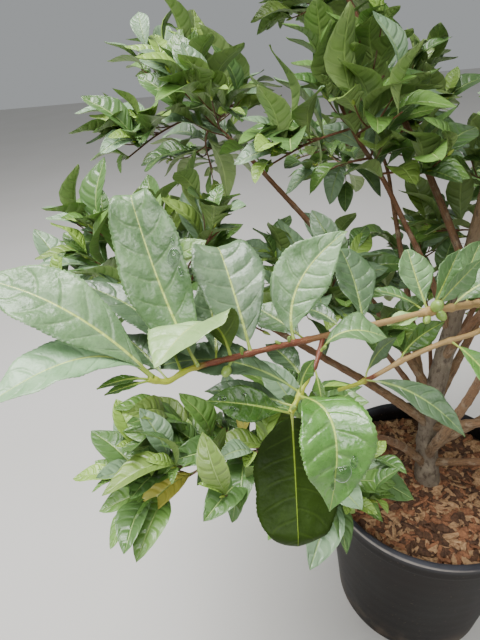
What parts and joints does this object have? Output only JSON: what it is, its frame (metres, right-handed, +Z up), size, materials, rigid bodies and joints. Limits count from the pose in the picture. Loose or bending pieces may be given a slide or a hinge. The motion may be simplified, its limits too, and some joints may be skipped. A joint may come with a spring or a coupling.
{
  "type": "tea bush",
  "caption": "Young evergreen tea bush with serrated glossy leaves on slender ascending boughs, in a round tapered nursery pot of bark mix.",
  "frame": {"origin": "centre of the pot's flat underside, where it stands on the floor", "axes": "+Z up along the pot's axis; the near branch hangs out over the pot's -X, -Y side; +Y is away from the viewer"},
  "size_m": [0.9153, 0.7554, 0.9953],
  "materials": {
    "pot": "dusty black plastic, worn pale along the rolled rim",
    "potting_mix": "reddish brown shredded bark",
    "bark": "matt grey brown bark, redder on young stems",
    "near_foliage": "leathery semi-gloss leaves with a pale midrib",
    "foliage": "leathery semi-gloss leaves"
  },
  "bodies": {
    "root": {"bough_front": "bark", "bough_front_right": "bark", "bough_front_top": "bark", "bough_heart": "bark", "bough_inner_left": "bark", "bough_left": "bark", "bough_left_low": "bark", "bough_low_rear": "bark", "bough_mid_left": "bark", "bough_rear": "bark", "bough_rear_left": "bark", "bough_rear_right": "bark", "bough_right": "bark", "bough_right_low": "bark", "bough_top_rear": "bark", "bough_top_right": "bark", "leaves_front": "near_foliage", "leaves_front_right": "foliage", "leaves_front_top": "foliage", "leaves_heart": "foliage", "leaves_inner_left": "foliage", "leaves_left": "foliage", "leaves_left_low": "foliage", "leaves_low_rear": "foliage", "leaves_mid_left": "foliage", "leaves_rear": "foliage", "leaves_rear_left": "foliage", "leaves_rear_right": "foliage", "leaves_right": "foliage", "leaves_right_low": "foliage", "leaves_top": "foliage", "leaves_top_rear": "foliage", "leaves_top_right": "foliage", "pot": "pot", "potting_mix": "potting_mix", "trunk": "bark"}
  },
  "joints": []
}
